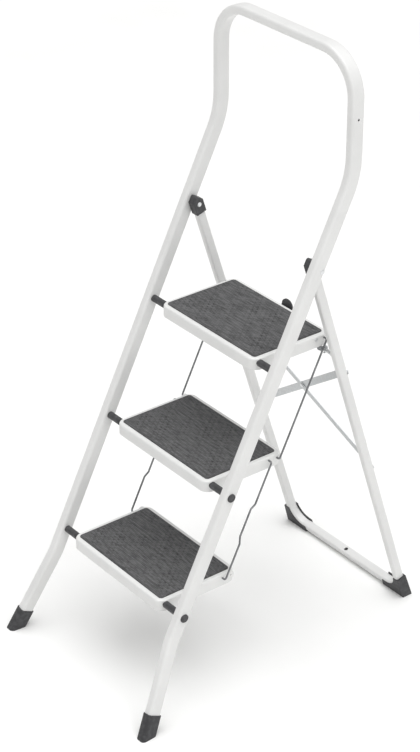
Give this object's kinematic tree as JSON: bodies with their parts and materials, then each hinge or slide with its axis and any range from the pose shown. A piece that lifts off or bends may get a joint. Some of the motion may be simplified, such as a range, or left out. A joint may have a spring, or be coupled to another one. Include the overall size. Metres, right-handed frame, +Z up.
{
  "type": "step stool",
  "caption": "Folding household step ladder: bent tubular steel frame with a high handle, ribbed treads that fold up on lift wires, and a braced rear frame.",
  "frame": {"origin": "on the floor, midway between the front toes and the rear heels, in the middle of the width, with the ladder opened", "axes": "+X to the user's right, +Y from the front feet to the rear feet, the way the user faces when climbing, +Z up"},
  "size_m": [0.4938, 0.7656, 1.305],
  "materials": {
    "white_powder_coat": "white powder coat, satin",
    "white_tread_coat": "white powder coat on pressed sheet, satin",
    "ribbed_rubber": "ribbed anthracite rubber",
    "foot_plastic": "moulded anthracite plastic",
    "dark_plastic": "moulded dark grey plastic",
    "washer_plastic": "natural nylon",
    "zinc_steel": "bright zinc plated",
    "wire_steel": "drawn and zinc plated wire",
    "brace_steel": "zinc plated flat strip",
    "hook_steel": "zinc plated sheet steel"
  },
  "bodies": {
    "front_frame": {"front_frame_tube": "white_powder_coat", "front_foot_left": "foot_plastic", "front_foot_right": "foot_plastic", "hinge_pin_left": "zinc_steel", "hinge_pin_right": "zinc_steel", "hinge_washer_left": "washer_plastic", "hinge_washer_right": "washer_plastic", "bottom_axle": "zinc_steel", "middle_axle": "zinc_steel", "top_axle": "zinc_steel", "bottom_sleeve_left": "dark_plastic", "bottom_sleeve_right": "dark_plastic", "middle_sleeve_left": "dark_plastic", "middle_sleeve_right": "dark_plastic", "top_sleeve_left": "dark_plastic", "top_sleeve_right": "dark_plastic", "bottom_axle_cap_left": "dark_plastic", "bottom_axle_cap_right": "dark_plastic", "middle_axle_cap_left": "dark_plastic", "middle_axle_cap_right": "dark_plastic"},
    "rear_frame": {"rear_frame_tube": "white_powder_coat", "rear_leg_cap_left": "dark_plastic", "rear_leg_cap_right": "dark_plastic", "rear_shoe_left": "foot_plastic", "rear_shoe_right": "foot_plastic", "rear_cross_rod": "zinc_steel", "brace_strip_left": "brace_steel", "brace_strip_right": "brace_steel", "brace_rivets": "zinc_steel"},
    "bottom_tread": {"bottom_tread_pan": "white_tread_coat", "bottom_tread_mat": "ribbed_rubber", "bottom_tread_bushes": "dark_plastic"},
    "middle_tread": {"middle_tread_pan": "white_tread_coat", "middle_tread_mat": "ribbed_rubber", "middle_tread_bushes": "dark_plastic"},
    "top_tread": {"top_tread_pan": "white_tread_coat", "top_tread_mat": "ribbed_rubber", "top_tread_bushes": "dark_plastic", "hook_plate_left": "hook_steel", "hook_plate_right": "hook_steel", "hook_rivets": "zinc_steel", "catch_bracket": "hook_steel", "catch_pin": "zinc_steel"},
    "catch": {"catch_lever": "dark_plastic"},
    "upper_wire_left": {"upper_lift_wire_left": "wire_steel"},
    "lower_wire_left": {"lower_lift_wire_left": "wire_steel"},
    "upper_wire_right": {"upper_lift_wire_right": "wire_steel"},
    "lower_wire_right": {"lower_lift_wire_right": "wire_steel"}
  },
  "joints": [
    {"name": "rear_fold", "type": "hinge", "parent": "front_frame", "child": "rear_frame", "pos_m": [0, 0.08435, 0.88489], "axis": [-1, 0, 0], "range_deg": [0, 38]},
    {"name": "bottom_tread_fold", "type": "hinge", "parent": "front_frame", "child": "bottom_tread", "pos_m": [0, -0.2511, 0.226], "axis": [1, 0, 0], "range_deg": [0, 57.01]},
    {"name": "middle_tread_fold", "type": "hinge", "parent": "front_frame", "child": "middle_tread", "pos_m": [0, -0.13444, 0.461], "axis": [1, 0, 0], "range_deg": [0, 57.01]},
    {"name": "top_tread_fold", "type": "hinge", "parent": "front_frame", "child": "top_tread", "pos_m": [0, -0.01779, 0.696], "axis": [1, 0, 0], "range_deg": [0, 57.01]},
    {"name": "upper_wire_left_pivot", "type": "hinge", "parent": "top_tread", "child": "upper_wire_left", "pos_m": [-0.1515, 0.14561, 0.698], "axis": [1, 0, 0], "range_deg": [-57.01, 0]},
    {"name": "upper_wire_right_pivot", "type": "hinge", "parent": "top_tread", "child": "upper_wire_right", "pos_m": [0.1515, 0.14561, 0.698], "axis": [1, 0, 0], "range_deg": [-57.01, 0]},
    {"name": "lower_wire_left_pivot", "type": "hinge", "parent": "middle_tread", "child": "lower_wire_left", "pos_m": [-0.1515, 0.00886, 0.463], "axis": [1, 0, 0], "range_deg": [-57.01, 0]},
    {"name": "lower_wire_right_pivot", "type": "hinge", "parent": "middle_tread", "child": "lower_wire_right", "pos_m": [0.1515, 0.00886, 0.463], "axis": [1, 0, 0], "range_deg": [-57.01, 0]},
    {"name": "catch_release", "type": "hinge", "parent": "top_tread", "child": "catch", "pos_m": [0.012, 0.16751, 0.6975], "axis": [-1, 0, 0], "range_deg": [0, 12], "stiffness_Nm_per_rad": 0.6}
  ],
  "couplings": [
    {"joint": "bottom_tread_fold", "follows": "rear_fold", "ratio": 1.5},
    {"joint": "middle_tread_fold", "follows": "rear_fold", "ratio": 1.5},
    {"joint": "top_tread_fold", "follows": "rear_fold", "ratio": 1.5},
    {"joint": "upper_wire_left_pivot", "follows": "rear_fold", "ratio": -1.5},
    {"joint": "upper_wire_right_pivot", "follows": "rear_fold", "ratio": -1.5},
    {"joint": "lower_wire_left_pivot", "follows": "rear_fold", "ratio": -1.5},
    {"joint": "lower_wire_right_pivot", "follows": "rear_fold", "ratio": -1.5}
  ]
}
